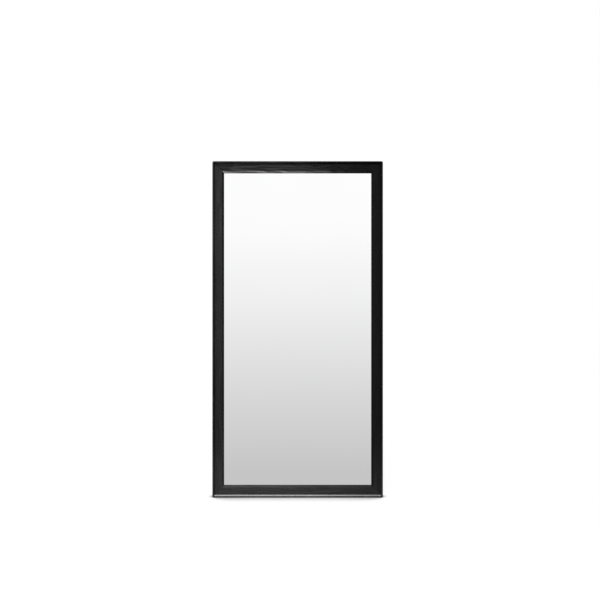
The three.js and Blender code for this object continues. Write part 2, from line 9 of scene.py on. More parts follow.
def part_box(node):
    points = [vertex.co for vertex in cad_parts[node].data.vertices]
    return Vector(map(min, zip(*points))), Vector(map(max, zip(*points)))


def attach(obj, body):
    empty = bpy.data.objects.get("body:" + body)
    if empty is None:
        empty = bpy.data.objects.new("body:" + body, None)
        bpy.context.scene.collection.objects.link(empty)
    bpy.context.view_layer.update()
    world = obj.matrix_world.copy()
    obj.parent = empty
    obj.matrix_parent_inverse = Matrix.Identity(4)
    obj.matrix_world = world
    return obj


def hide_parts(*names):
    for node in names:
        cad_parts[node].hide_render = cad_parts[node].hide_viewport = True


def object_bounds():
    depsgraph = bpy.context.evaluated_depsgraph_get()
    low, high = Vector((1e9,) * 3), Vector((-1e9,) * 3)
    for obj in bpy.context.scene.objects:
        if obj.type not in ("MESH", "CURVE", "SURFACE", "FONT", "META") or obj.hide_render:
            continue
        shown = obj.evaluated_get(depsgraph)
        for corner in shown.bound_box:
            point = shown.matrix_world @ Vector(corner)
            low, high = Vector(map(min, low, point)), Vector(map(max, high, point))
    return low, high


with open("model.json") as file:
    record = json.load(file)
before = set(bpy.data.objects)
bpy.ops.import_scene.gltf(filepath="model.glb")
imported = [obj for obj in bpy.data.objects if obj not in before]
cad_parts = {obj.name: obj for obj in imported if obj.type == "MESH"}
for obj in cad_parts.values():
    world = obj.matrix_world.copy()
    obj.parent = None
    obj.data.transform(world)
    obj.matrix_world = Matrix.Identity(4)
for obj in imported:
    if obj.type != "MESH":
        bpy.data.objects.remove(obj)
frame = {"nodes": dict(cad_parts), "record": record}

cad_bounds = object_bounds()
scene = bpy.context.scene

# All lengths are in metres. The mirror faces -Y, is pulled out along +X and stands on the floor at Z = 0.

# Camera: level and square to the mirror, as far off as the photograph's view asks
PHOTO_SIDE_PX = 600
OBJECT_MIDDLE_PX = (297.63, 329.4)
FRAME_HEIGHT_PX = 336.6
CAMERA_DISTANCE = 2.0
SENSOR_MM = 36.0

# Softened edges of the CAD pieces
WELD = 0.00002
SLIVER = 0.000003
SMOOTH_ANGLE = math.radians(35)
FLAT_ANGLE = math.radians(0.5)
EDGE_STEPS = 2
WOOD_EDGE_STEPS = 3
EDGE_BY_SLOT = {
    "stained_wood": 0.0005,
    "aluminium": 0.0002,
    "zinc_steel": 0.00012,
    "black_steel": 0.0003,
    "black_plastic": 0.0004,
    "rubber": 0.0006,
}

# Screws. A pan head's depth is its rise over what it holds
CLIP_SCREW = {"radius": 0.003, "depth": 0.0013, "shank": 0.0013, "length": 0.0123}
RAIL_SCREW = {"radius": 0.0042, "depth": 0.0016, "shank": 0.0019, "length": 0.0071}
BRACE_SCREW = {"radius": 0.0032, "depth": 0.0011, "shank": 0.0016, "length": 0.0022}
FIXED_LEAF_SCREW = {"radius": 0.003, "depth": 0.0008, "shank": 0.0015, "length": 0.0016}
BUFFER_SCREW = {"radius": 0.0026, "depth": 0.0014, "shank": 0.0013, "length": 0.003}
SUNK_LEAF_SCREW = {"radius": 0.0034, "shank": 0.0018, "length": 0.0137}
SUNK_BRACKET_SCREW = {"radius": 0.0035, "shank": 0.0019, "length": 0.008}
ROUND_SIDES = 40
PAN_DOME_SHARE = 0.55
DOME_STEPS = 8
SUNK_CONE = 0.0016
SUNK_RIM_SHARE = 0.06

# Cross recesses, as shares of the head they are cut in
CROSS_REACH_SHARE = 1.15
CROSS_WIDTH_SHARE = 0.26
CROSS_TAPER_SHARE = 0.62
PAN_CROSS_DEPTH_SHARE = 0.7
SUNK_CROSS_DEPTH_SHARE = 0.6

# How far each screw is turned on from the one before, in radians, so that no two crosses line up
CAD_SCREW_TURN = 0.7
BRACE_SCREW_TURN = 0.9
LEAF_SCREW_TURN = 1.1
BUFFER_SCREW_TURN = 1.0
FIRST_BUFFER_SCREW_TURN = 0.4

# Where the scene's own screws sit
BRACE_HOLE_INSET = 0.008
BRACE_HOLE_PITCH = 0.026
BRACE_WIDTH = 0.012
LEAF_THICKNESS = 0.002
LEAF_SCREW_INSET = 0.005
LEAF_SCREW_SHARES = (0.14, 0.5, 0.86)

# Rest buffers
BUFFER_TIP_SHARE = 0.78
BUFFER_FOOT_ROUND = 0.00075
BUFFER_NOSE_ROUND = 0.0015
BUFFER_ROUND_STEPS = 5
BUFFER_BORE_RADIUS = 0.003
BUFFER_BORE_DEPTH = 0.006
BUFFER_BORE_ARRIS = 0.0004

# Glue in the mitres
GLUE_THICKNESS = 0.00026
GLUE_GAP = 0.00002
GLUE_BELOW = 0.0006
MITRE_SEARCH = 0.0005
MITRE_FACING = 0.999

# Ball cages. A cutter is so many times as long as the sheet is thick, or as the cage's half height
CAGE_SHEET = 0.001
BALL_FROM_ARM_END = 0.0024
CAGE_BEND_RADIUS = 0.0014
CAGE_BEND_STEPS = 6
CAGE_WINDOWS = 3
CAGE_WINDOW = (0.046, 0.014)
WINDOW_SIDES = 32
POCKET_SIDES = 24
CUTTER_LENGTHS = 4
BALLS_IN_ROW = 7
BALL_RADIUS = {"outer": 0.0019, "inner": 0.0015}
BALL_CLEARANCE = 0.0002
BALL_SEGMENTS = 24

# Stained wood: where its tones change, counted from a board's sight edge or from the frame's front
SIGHT_BEVEL = 0.006
GROOVE_FROM_SIGHT = 0.0242
GROOVE_EDGE = 0.0008
LIP_FROM_SIGHT = 0.0275
SIDE_FROM_SIGHT = 0.0325
TONE_EDGE = 0.0004
BACK_FROM_FRONT = 0.019
BACK_EDGE = 0.002
PLAIN_STAIN = 0.028
WOOD_GLOSS = 0.12
RING_STRETCH = 0.09
RING_PHASE = 58.0
PORE_STRETCH = 0.018
PORE_TONE = 0.76
OFF_PORE_LIFT = 0.3

# The frame's boards
# along is the grain's axis, 0 for X and 2 for Z.
# wander is how far the grain strays, and figure how strongly it shows.
# way is the direction on the board's other axis, from its sight edge into the board.
# painted_shading_by_groove and painted_shading_on_lip are painted light and shade across the board, past its
# groove and on its lip, such as the top lip's painted shadow on the top rail.
# face and sight are the colour on the face and on the sight bevel, from the board's low end to its high end:
# dark staining with painted light over it, lighter to the left and near the bottom and darker to the right,
# with a painted highlight on the left of the top rail's bevel and along the bottom rail's bevel, and painted
# shade on the stiles' bevels.
BOARDS = {
    "frame_left_stile": {
        "along": 2, "wander": 0.002, "figure": 0.25, "way": -1, "painted_shading_by_groove": 1.2, "painted_shading_on_lip": 1.05,
        "face": ((0.0, 0.046), (0.06, 0.044), (0.16, 0.024), (0.3, 0.02), (0.45, 0.026), (0.6, 0.026),
                 (0.78, 0.038), (0.92, 0.032)),
        "sight": ((0.0, 0.036), (0.1, 0.028), (0.25, 0.013), (1.0, 0.009)),
    },
    "frame_right_stile": {
        "along": 2, "wander": 0.002, "figure": 0.3, "way": 1, "painted_shading_by_groove": 1.3, "painted_shading_on_lip": 1.9,
        "face": ((0.0, 0.023), (0.08, 0.017), (0.16, 0.007), (0.3, 0.0045), (1.0, 0.0035)),
        "sight": ((0.0, 0.01), (0.12, 0.003), (1.0, 0.001)),
    },
    "frame_top_rail": {
        "along": 0, "wander": 0.009, "figure": 1.1, "way": 1, "painted_shading_by_groove": 0.55, "painted_shading_on_lip": 0.95,
        "face": ((0.0, 0.031), (0.35, 0.034), (0.52, 0.026), (0.7, 0.009), (0.85, 0.004)),
        "sight": ((0.0, 0.19), (0.54, 0.19), (0.7, 0.035), (0.82, 0.008), (0.9, 0.003)),
    },
    "frame_bottom_rail": {
        "along": 0, "wander": 0.004, "figure": 0.3, "way": -1, "painted_shading_by_groove": 1.0, "painted_shading_on_lip": 0.7,
        "face": ((0.0, 0.044), (0.3, 0.052), (0.55, 0.051), (0.75, 0.036), (1.0, 0.03)),
        "sight": ((0.0, 0.1), (0.3, 0.085), (0.6, 0.06), (1.0, 0.03)),
    },
}
FRAME_LOW = Vector(map(min, *(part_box(name)[0] for name in BOARDS)))
FRAME_HIGH = Vector(map(max, *(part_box(name)[1] for name in BOARDS)))

# Metals
# the strip's pale tone, dimmed towards its right end as painted light falling off away from the lamp on the
# left
STRIP_TONE_WITH_PAINTED_FALLOFF = ((0.0, (0.99, 0.99, 0.99)), (0.55, (0.98, 0.98, 0.985)), (0.9, (0.68, 0.685, 0.69)))
BRUSH_STRETCH = 0.02
METAL_CLOUD_SHARES = (0.86, 1.05)
METAL_ROUGH_SHARES = (0.85, 1.2)

# Mouldings
MOULDED_GREY_SHARES = (0.85, 1.12)
MOULDED_ROUGH_SHARES = (0.9, 1.05)

# Hardboard
FIBRE_SHARE = 0.72
HARDBOARD_BROWNS = ((0.36, (0.12, 0.067, 0.036)), (0.5, (0.185, 0.108, 0.058)), (0.64, (0.255, 0.157, 0.09)))

# Light. The room that glossy surfaces see: its tone by height, from straight down at 0 to straight up at 1,
# and by side, from far left at 0 to far right at 1, with one tone for all that lies behind the mirror
WORLD_LEVEL = 0.5
ROOM_BY_HEIGHT = (
    (0.1, 0.72), (0.34, 0.565), (0.368, 0.57), (0.378, 0.574), (0.43, 0.7), (0.5, 0.885), (0.55, 0.985),
    (0.575, 1.0), (0.63, 1.0), (0.8, 0.4))
ROOM_BY_SIDE = ((0.0, 0.35), (0.36, 0.6), (0.43, 1.0), (0.57, 1.0), (0.64, 0.4), (1.0, 0.3))
ROOM_BEHIND = ((0.42, 0.0), (0.58, 1.0))
BEHIND_LEVEL = 0.75
KEY_POWER = 12.0
KEY_PLACE = (-0.6, -1.8, 1.0)
KEY_SIZE = 1.4

# Floor: the tone that the camera sees, with its shade near the foot, and the one that lights the object
FLOOR_REACH = 12.0
FLOOR_GAP = 0.0002
FLOOR_GLOW = 0.88
FLOOR_MATT = 0.25
FLOOR_UNSEEN = 0.8
CONTACT_REACH = 0.12
CONTACT_SHADE = ((0.5, 0.25), (0.6, 0.55), (0.69, 0.86), (0.77, 1.0))


def rgba(value):
    """A colour socket's value, from a grey or from red, green and blue."""
    return (*value, 1.0) if isinstance(value, tuple) else (value, value, value, 1.0)


class Tree:
    """A node tree that adds nodes and links in one call each."""

    def __init__(self, tree):
        self.tree = tree
        tree.nodes.clear()

    def add(self, kind, inputs=None, **settings):
        node = self.tree.nodes.new(kind)
        for name, value in settings.items():
            setattr(node, name, value)
        for name, value in (inputs or {}).items():
            socket = node.inputs[name]
            if isinstance(value, bpy.types.NodeSocket):
                self.tree.links.new(value, socket)
            else:
                socket.default_value = value
        return node

    def math(self, operation, a, b=0.0, c=0.0):
        return self.add("ShaderNodeMath", {0: a, 1: b, 2: c}, operation=operation).outputs[0]

    def vector_math(self, operation, a, b, c=(0.0, 0.0, 0.0)):
        return self.add("ShaderNodeVectorMath", {0: a, 1: b, 2: c}, operation=operation).outputs[0]

    def mix(self, factor, a, b, blend="MIX"):
        inputs = {0: factor, 6: a, 7: b}
        return self.add("ShaderNodeMix", inputs, data_type="RGBA", blend_type=blend).outputs[2]

    def product(self, a, b):
        return self.mix(1.0, a, b, "MULTIPLY")

    def mix_shader(self, factor, a, b):
        return self.add("ShaderNodeMixShader", {0: factor, 1: a, 2: b}).outputs[0]

    def ramp(self, factor, stops):
        node = self.add("ShaderNodeValToRGB", {"Fac": factor})
        elements = node.color_ramp.elements
        while len(elements) < len(stops):
            elements.new(0.5)
        for element, (position, value) in zip(elements, stops):
            element.position = position
            element.color = rgba(value)
        return node.outputs["Color"]

    def run(self, value, start, end, low=0.0, high=1.0):
        """low at start, high at end, an even run between them, and level on either side."""
        inputs = {"Value": value, "From Min": start, "From Max": end, "To Min": low, "To Max": high}
        return self.add("ShaderNodeMapRange", inputs).outputs[0]

    def noise(self, vector, scale, detail=3.0, roughness=0.55, distortion=0.0, output="Fac"):
        node = self.add("ShaderNodeTexNoise", {
            "Vector": vector, "Scale": scale, "Detail": detail,
            "Roughness": roughness, "Distortion": distortion,
        })
        return node.outputs[output]

    def place(self):
        return self.add("ShaderNodeTexCoord").outputs["Object"]

    def axes(self, vector):
        return self.add("ShaderNodeSeparateXYZ", {"Vector": vector}).outputs

    def stretched(self, vector, axis, scale):
        """The vector with one of its axes scaled."""
        scales = [1.0, 1.0, 1.0]
        scales[axis] = scale
        return self.add("ShaderNodeMapping", {"Vector": vector, "Scale": scales}).outputs["Vector"]

    def bump(self, height, strength, depth, normal=None):
        inputs = {"Height": height, "Strength": strength, "Distance": depth}
        if normal:
            inputs["Normal"] = normal
        return self.add("ShaderNodeBump", inputs).outputs["Normal"]

    def finish(self, shader):
        self.add("ShaderNodeOutputMaterial", {"Surface": shader})


def new_material(name):
    material = bpy.data.materials.new(name)
    material.use_nodes = True
    return material, Tree(material.node_tree)


def principled(tree, **inputs):
    named = {key.replace("_", " "): value for key, value in inputs.items()}
    return tree.add("ShaderNodeBsdfPrincipled", named).outputs[0]


# Materials
def strayed_place(tree, along, wander):
    """The place on a board, moved a little sideways from the grain's axis by a slow noise."""
    place = tree.place()
    sideways = [wander, wander, wander]
    sideways[along] = 0.0
    drift = tree.noise(place, scale=21.0, detail=1.0, output="Color")
    centred = tree.vector_math("SUBTRACT", drift, (0.5, 0.5, 0.5))
    return tree.vector_math("MULTIPLY_ADD", centred, sideways, place)


def board_stain_and_painted_light(tree, node, along, way, painted_shading_by_groove, painted_shading_on_lip, face, sight):
    """The colour on a board, dark staining with painted light and shade over it, and the painted shading
    across the board, before the grain darkens it.
    """
    axes = tree.axes(tree.place())
    share = tree.run(axes[along], FRAME_LOW[along], FRAME_HIGH[along])
    across = 2 - along
    low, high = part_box(node)
    edge = low[across] if way > 0 else high[across]
    into = tree.math("MULTIPLY", tree.math("SUBTRACT", axes[across], edge), float(way))
    on_bevel = tree.run(into, SIGHT_BEVEL, SIGHT_BEVEL - TONE_EDGE)
    # painted light and shade across the board: tones past the groove and on the lip
    shading_past_groove = tree.run(into, GROOVE_FROM_SIGHT, GROOVE_FROM_SIGHT + GROOVE_EDGE, 1.0, painted_shading_by_groove)
    shading_past_lip = tree.run(into, LIP_FROM_SIGHT, LIP_FROM_SIGHT + TONE_EDGE, 1.0, painted_shading_on_lip / painted_shading_by_groove)
    on_side = tree.run(into, SIDE_FROM_SIGHT, SIDE_FROM_SIGHT + TONE_EDGE)
    back = FRAME_LOW.y + BACK_FROM_FRONT
    on_back = tree.run(axes[1], back, back + BACK_EDGE)
    # the face and sight tones along the frame are dark staining with painted light and shade over it
    front = tree.mix(on_bevel, tree.ramp(share, face), tree.ramp(share, sight))
    colour = tree.mix(tree.math("MAXIMUM", on_side, on_back), front, rgba(PLAIN_STAIN))
    return colour, tree.math("MULTIPLY", shading_past_groove, shading_past_lip)


def stained_wood(node, along, wander, figure, **stain_and_shading):
    """Black-stained open-grain wood, its grain along one axis, with painted light and shade on its front.
    Its side and back have one plain stained tone.
    """
    side = node.split("_")[1]
    material, tree = new_material(f"stained_wood_{side}")
    wavy = strayed_place(tree, along, wander)
    slow = tree.stretched(wavy, along, RING_STRETCH)
    rings = tree.noise(slow, scale=30.0, detail=2.0, roughness=0.5, distortion=0.4)
    bands = tree.math("SINE", tree.math("MULTIPLY", rings, RING_PHASE))
    streak = tree.math("MULTIPLY", bands, tree.noise(slow, scale=11.0, detail=2.0))
    pores = tree.noise(tree.stretched(wavy, along, PORE_STRETCH), scale=900.0, detail=2.0, roughness=0.6)
    off_pore = tree.ramp(pores, ((0.36, 0.0), (0.5, 1.0)))
    lit = tree.math("MULTIPLY_ADD", streak, figure, 1.0)
    grain = tree.math("MULTIPLY", lit, tree.math("MULTIPLY_ADD", off_pore, OFF_PORE_LIFT, PORE_TONE))
    board, tone = board_stain_and_painted_light(tree, node, along, **stain_and_shading)
    colour = tree.product(board, tree.math("MULTIPLY", grain, tone))
    rough = tree.ramp(pores, ((0.3, 0.62), (0.7, 0.46)))
    normal = tree.bump(off_pore, strength=0.3, depth=0.0003)
    normal = tree.bump(bands, strength=0.18, depth=0.00025, normal=normal)
    tree.finish(principled(tree, Base_Color=colour, Roughness=rough, Specular_IOR_Level=WOOD_GLOSS,
                           Normal=normal))
    return material


def mirror_silver():
    material, tree = new_material("mirror_silver")
    haze = tree.noise(tree.place(), scale=6.0, detail=2.0)
    tint = tree.ramp(haze, ((0.3, (0.972, 0.975, 0.974)), (0.7, (0.978, 0.981, 0.98))))
    tree.finish(principled(tree, Base_Color=tint, Metallic=1.0, Roughness=0.01))
    return material


def clouded(tree, dark, light):
    """Soft clouds between two tones."""
    return tree.ramp(tree.noise(tree.place(), scale=40.0, detail=3.0), ((0.35, dark), (0.65, light)))


def drawn_metal(tree, tint, metallic, smooth, rough):
    """A metal's shader, with fine lines along X in its roughness and its bump."""
    lines = tree.noise(tree.stretched(tree.place(), 0, BRUSH_STRETCH), scale=1800.0, detail=2.0)
    return principled(tree, Base_Color=tint, Metallic=metallic,
                      Roughness=tree.ramp(lines, ((0.3, smooth), (0.7, rough))),
                      Normal=tree.bump(lines, strength=0.12, depth=0.00005))


def brushed_metal(name, colour, roughness):
    material, tree = new_material(name)
    dark, light = [tuple(part * share for part in colour) for share in METAL_CLOUD_SHARES]
    smooth, rough = [roughness * share for share in METAL_ROUGH_SHARES]
    tree.finish(drawn_metal(tree, clouded(tree, dark, light), metallic=1.0, smooth=smooth, rough=rough))
    return material


def satin_strip():
    """Satin silver aluminium, with painted light that fades towards its right end."""
    material, tree = new_material("satin_aluminium")
    share = tree.run(tree.axes(tree.place())["X"], FRAME_LOW.x, FRAME_HIGH.x)
    # painted light: the tint dims towards the strip's right end
    tint = tree.product(tree.ramp(share, STRIP_TONE_WITH_PAINTED_FALLOFF), clouded(tree, dark=0.96, light=1.0))
    tree.finish(drawn_metal(tree, tint, metallic=0.1, smooth=0.38, rough=0.54))
    return material


def hardboard():
    """Hardboard seen from its smooth face: fine pressed fibres under slow clouds."""
    material, tree = new_material("hardboard")
    place = tree.place()
    fibre = tree.noise(place, scale=520.0, detail=6.0, roughness=0.75)
    cloud = tree.math("MULTIPLY", tree.noise(place, scale=9.0, detail=3.0), 1 - FIBRE_SHARE)
    tint = tree.ramp(tree.math("MULTIPLY_ADD", fibre, FIBRE_SHARE, cloud), HARDBOARD_BROWNS)
    normal = tree.bump(fibre, strength=0.3, depth=0.00015)
    tree.finish(principled(tree, Base_Color=tint, Roughness=0.78, Normal=normal))
    return material


def grained(tree, greys, roughs, cloud, grain, bump):
    """A matt shader: two greys in clouds, and a fine grain in its roughness and its bump."""
    place = tree.place()
    fine = tree.noise(place, **grain)
    tint = tree.ramp(tree.noise(place, **cloud), ((0.3, greys[0]), (0.7, greys[1])))
    rough = tree.ramp(fine, ((0.3, roughs[0]), (0.7, roughs[1])))
    return principled(tree, Base_Color=tint, Roughness=rough, Normal=tree.bump(fine, **bump))


def powder_coat():
    material, tree = new_material("black_powder_coat")
    tree.finish(grained(
        tree,
        greys=(0.014, 0.022),
        roughs=(0.42, 0.56),
        cloud={"scale": 30.0, "detail": 3.0},
        grain={"scale": 700.0, "detail": 2.0},
        bump={"strength": 0.25, "depth": 0.0001},
    ))
    return material


def moulded(name, grey, roughness):
    material, tree = new_material(name)
    tree.finish(grained(
        tree,
        greys=[grey * share for share in MOULDED_GREY_SHARES],
        roughs=[roughness * share for share in MOULDED_ROUGH_SHARES],
        cloud={"scale": 50.0, "detail": 2.0},
        grain={"scale": 1500.0, "detail": 2.0},
        bump={"strength": 0.15, "depth": 0.00008},
    ))
    return material


WOOD = {node: stained_wood(node, **board) for node, board in BOARDS.items()}
BY_SLOT = {
    "mirror": mirror_silver(),
    "aluminium": satin_strip(),
    "hardboard": hardboard(),
    "zinc_steel": brushed_metal("zinc_steel", colour=(0.56, 0.575, 0.59), roughness=0.3),
    "black_steel": powder_coat(),
    "black_plastic": moulded("black_plastic", grey=0.012, roughness=0.55),
    "grey_plastic": moulded("grey_plastic", grey=0.27, roughness=0.5),
    "rubber": moulded("rubber", grey=0.012, roughness=0.85),
}
BALL_STEEL = brushed_metal("ball_steel", colour=(0.66, 0.67, 0.69), roughness=0.1)
DARK_GLUE = moulded("dark_glue", grey=0.006, roughness=0.7)


# CAD nodes: materials, softened edges and smooth rounds
def paint(obj, material):
    obj.data.materials.clear()
    obj.data.materials.append(material)


def smooth_by_angle():
    """Geometry nodes that shade a mesh smooth, but for its edges sharper than the smooth angle."""
    group = bpy.data.node_groups.new("smooth_by_angle", "GeometryNodeTree")
    for way in ("INPUT", "OUTPUT"):
        group.interface.new_socket("Geometry", in_out=way, socket_type="NodeSocketGeometry")
    tree = Tree(group)
    start = tree.add("NodeGroupInput").outputs[0]
    angle = tree.add("GeometryNodeInputMeshEdgeAngle").outputs[0]
    sharp = tree.add("FunctionNodeCompare", {0: angle, 1: SMOOTH_ANGLE}, operation="GREATER_THAN").outputs[0]
    edges = tree.add("GeometryNodeSetShadeSmooth", {0: start, 1: sharp, 2: False}, domain="EDGE").outputs[0]
    faces = tree.add("GeometryNodeSetShadeSmooth", {0: edges, 2: True}, domain="FACE").outputs[0]
    tree.add("NodeGroupOutput", {0: faces})
    return group


def modify(obj, name, kind, **settings):
    modifier = obj.modifiers.new(name, kind)
    for key, value in settings.items():
        setattr(modifier, key, value)


def soften(obj, width, steps, smoothing):
    """Rounds a faceted piece's edges and shades its rounds smooth."""
    modify(obj, "weld", "WELD", merge_threshold=WELD)
    modify(obj, "joined_flats", "DECIMATE", decimate_type="DISSOLVE", angle_limit=FLAT_ANGLE)
    modify(obj, "smooth_rounds", "NODES", node_group=smoothing)
    modify(obj, "softened_edges", "BEVEL", width=width, segments=steps, limit_method="ANGLE",
           angle_limit=SMOOTH_ANGLE)
    modify(obj, "sliver_weld", "WELD", merge_threshold=SLIVER)
    modify(obj, "weighted_normals", "WEIGHTED_NORMAL", keep_sharp=True)


def dress_cad():
    slots = {row["node"]: row["material_slot"] for row in frame["record"]["subparts"]}
    smoothing = smooth_by_angle()
    for name, obj in frame["nodes"].items():
        slot = slots[name]
        paint(obj, WOOD.get(name) or BY_SLOT[slot])
        if slot in EDGE_BY_SLOT:
            steps = WOOD_EDGE_STEPS if name in WOOD else EDGE_STEPS
            soften(obj, EDGE_BY_SLOT[slot], steps, smoothing)


# Own pieces
def new_piece(name, mesh, slot, body, replaced=(), material=None):
    """Adds a piece, in its slot's material unless it has one of its own."""
    piece = bpy.data.objects.new(name, mesh)
    scene.collection.objects.link(piece)
    for face in mesh.polygons:
        face.use_smooth = True
    mesh.set_sharp_from_angle(angle=SMOOTH_ANGLE)
    paint(piece, material or BY_SLOT[slot])
    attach(piece, body)
    if replaced:
        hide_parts(*replaced)


def mesh_of(name, bm):
    mesh = bpy.data.meshes.new(name)
    bm.to_mesh(mesh)
    bm.free()
    return mesh


def quarter_turn(steps):
    """The angles from 0 to 90 degrees in even steps."""
    return [math.pi / 2 * i / steps for i in range(steps + 1)]


def turned(profile):
    """A solid turned about Z, from points of radius and height that start and end on the axis."""
    bm = bmesh.new()
    rings = []
    for radius, height in profile:
        count = ROUND_SIDES if radius else 1
        angles = [2 * math.pi * s / ROUND_SIDES for s in range(count)]
        rings.append([bm.verts.new((radius * math.cos(a), radius * math.sin(a), height)) for a in angles])
    for low, high in zip(rings, rings[1:]):
        for s in range(ROUND_SIDES):
            t = (s + 1) % ROUND_SIDES
            corners = (low[s % len(low)], low[t % len(low)], high[t % len(high)], high[s % len(high)])
            bm.faces.new(dict.fromkeys(corners))
    bmesh.ops.recalc_face_normals(bm, faces=bm.faces)
    return bm


def cut(mesh, cutter_bm, name):
    """A copy of a mesh with a cutter taken out of it, and its slivers welded."""
    block = bpy.data.objects.new(name, mesh)
    cutter = bpy.data.objects.new("cutter", mesh_of("cutter", cutter_bm))
    for obj in (block, cutter):
        scene.collection.objects.link(obj)
    modify(block, "cut", "BOOLEAN", operation="DIFFERENCE", object=cutter, solver="EXACT", use_self=True)
    bpy.context.view_layer.update()
    done = bmesh.new()
    done.from_mesh(block.evaluated_get(bpy.context.evaluated_depsgraph_get()).to_mesh())
    bmesh.ops.remove_doubles(done, verts=done.verts[:], dist=SLIVER)
    bmesh.ops.dissolve_degenerate(done, edges=done.edges[:], dist=SLIVER)
    for obj in (block, cutter):
        bpy.data.objects.remove(obj)
    return mesh_of(name, done)


def cross_cutter(radius, depth):
    """Two crossed wedges that narrow downwards, standing over a head whose top is at zero."""
    bm = bmesh.new()
    for turn in (0.0, math.pi / 2):
        made = bmesh.ops.create_cube(bm, size=1.0)["verts"]
        for vert in made:
            over = vert.co.z > 0
            wide = radius if over else radius * CROSS_TAPER_SHARE
            vert.co.x *= wide * CROSS_REACH_SHARE
            vert.co.y *= wide * CROSS_WIDTH_SHARE
            vert.co.z = radius if over else -depth
        bmesh.ops.rotate(bm, verts=made, cent=(0, 0, 0), matrix=Matrix.Rotation(turn, 3, "Z"))
    return bm


def pan_screw(radius, depth, shank, length):
    """A screw whose domed head's top is at zero and whose shank runs down."""
    fall = depth * PAN_DOME_SHARE
    dome = [(radius * math.sin(a), fall * (math.cos(a) - 1)) for a in quarter_turn(DOME_STEPS)]
    under = [(radius, -depth), (shank, -depth), (shank, shank - length), (0, -length)]
    recess = cross_cutter(radius, depth * PAN_CROSS_DEPTH_SHARE)
    return cut(mesh_of("pan_screw", turned(dome + under)), recess, "pan_screw")


def sunk_screw(radius, shank, length):
    """A countersunk screw whose flat head is at zero and whose shank runs down."""
    rim = radius * SUNK_RIM_SHARE
    head = [(0, 0), (radius - rim, 0), (radius, -rim), (shank, -SUNK_CONE)]
    point = [(shank, shank - length), (0, -length)]
    recess = cross_cutter(radius, SUNK_CONE * SUNK_CROSS_DEPTH_SHARE)
    return cut(mesh_of("sunk_screw", turned(head + point)), recess, "sunk_screw")


def seat(mesh, name, place, outward, turn, body, replaced=()):
    """Adds a copy of a screw with its head's top at a place, facing outward and turned about its axis."""
    facing = Vector((0, 0, 1)).rotation_difference(Vector(outward)).to_matrix().to_4x4()
    copy = mesh.copy()
    copy.transform(Matrix.Translation(place) @ facing @ Matrix.Rotation(turn, 4, "Z"))
    new_piece(name, copy, "zinc_steel", body, replaced)


def add_cad_screws():
    """The CAD's screws with their cross recesses, in the same places."""
    bodies = {node: body for body, nodes in frame["record"]["behaviour"]["bodies"].items() for node in nodes}
    # the way that each kind's heads face on Y, and its mesh
    kinds = {
        "clip_screw": (1, pan_screw(**CLIP_SCREW)),
        "rail_screw": (-1, pan_screw(**RAIL_SCREW)),
        "leaf_screw": (1, sunk_screw(**SUNK_LEAF_SCREW)),
        "bracket_screw": (-1, sunk_screw(**SUNK_BRACKET_SCREW)),
    }
    for kind, (facing, mesh) in kinds.items():
        nodes = sorted(name for name in frame["nodes"] if name.startswith(kind))
        for n, node in enumerate(nodes):
            low, high = map(Vector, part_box(node))
            place = (low + high) / 2
            place.y = high.y if facing > 0 else low.y
            turn = CAD_SCREW_TURN * n
            seat(mesh, f"{node}_recessed", place, (0, facing, 0), turn, bodies[node], (node,))


def add_brace_screws():
    """Four screws on each corner brace, over its holes."""
    head = pan_screw(**BRACE_SCREW)
    count = 0
    for end, sz in (("bottom", 1), ("top", -1)):
        for side, sx in (("left", 1), ("right", -1)):
            low, high = map(Vector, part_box(f"corner_brace_{end}_{side}"))
            corner = Vector((low.x if sx > 0 else high.x, high.y, low.z if sz > 0 else high.z))
            corner.y += BRACE_SCREW["depth"]
            far_hole = high.x - low.x - BRACE_HOLE_INSET
            for n, far in enumerate((far_hole, far_hole - BRACE_HOLE_PITCH)):
                for arm, (dx, dz) in enumerate(((far, BRACE_WIDTH / 2), (BRACE_WIDTH / 2, far))):
                    name = f"brace_screw_{end}_{side}_{arm}_{n}"
                    place = corner + Vector((sx * dx, 0.0, sz * dz))
                    seat(head, name, place, (0, 1, 0), BRACE_SCREW_TURN * count, "mirror")
                    count += 1


def add_leaf_screws():
    """Screws that hold each fixed leaf to the post's side."""
    head = pan_screw(**FIXED_LEAF_SCREW)
    for level in ("lower", "upper"):
        low, high = map(Vector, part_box(f"hinge_fixed_leaf_{level}"))
        face = low.x + LEAF_THICKNESS + FIXED_LEAF_SCREW["depth"]
        for n, share in enumerate(LEAF_SCREW_SHARES):
            place = Vector((face, high.y - LEAF_SCREW_INSET, low.z + share * (high.z - low.z)))
            seat(head, f"fixed_leaf_screw_{level}_{n}", place, (1, 0, 0), LEAF_SCREW_TURN * n, "carriage")


def buffer_profile(base, length):
    """A buffer from its wide foot to its narrower nose, with a bore down from the nose."""
    tip = base * BUFFER_TIP_SHARE
    foot = []
    nose = []
    for a in quarter_turn(BUFFER_ROUND_STEPS):
        out = 1 - math.sin(a)
        up = 1 - math.cos(a)
        foot.append((base - BUFFER_FOOT_ROUND * out, BUFFER_FOOT_ROUND * up))
        nose.append((tip - BUFFER_NOSE_ROUND * up, length - BUFFER_NOSE_ROUND * out))
    bore = [
        (BUFFER_BORE_RADIUS + BUFFER_BORE_ARRIS, length),
        (BUFFER_BORE_RADIUS, length - BUFFER_BORE_ARRIS),
        (BUFFER_BORE_RADIUS, length - BUFFER_BORE_DEPTH),
        (0, length - BUFFER_BORE_DEPTH),
    ]
    return [(0, 0)] + foot + nose + bore


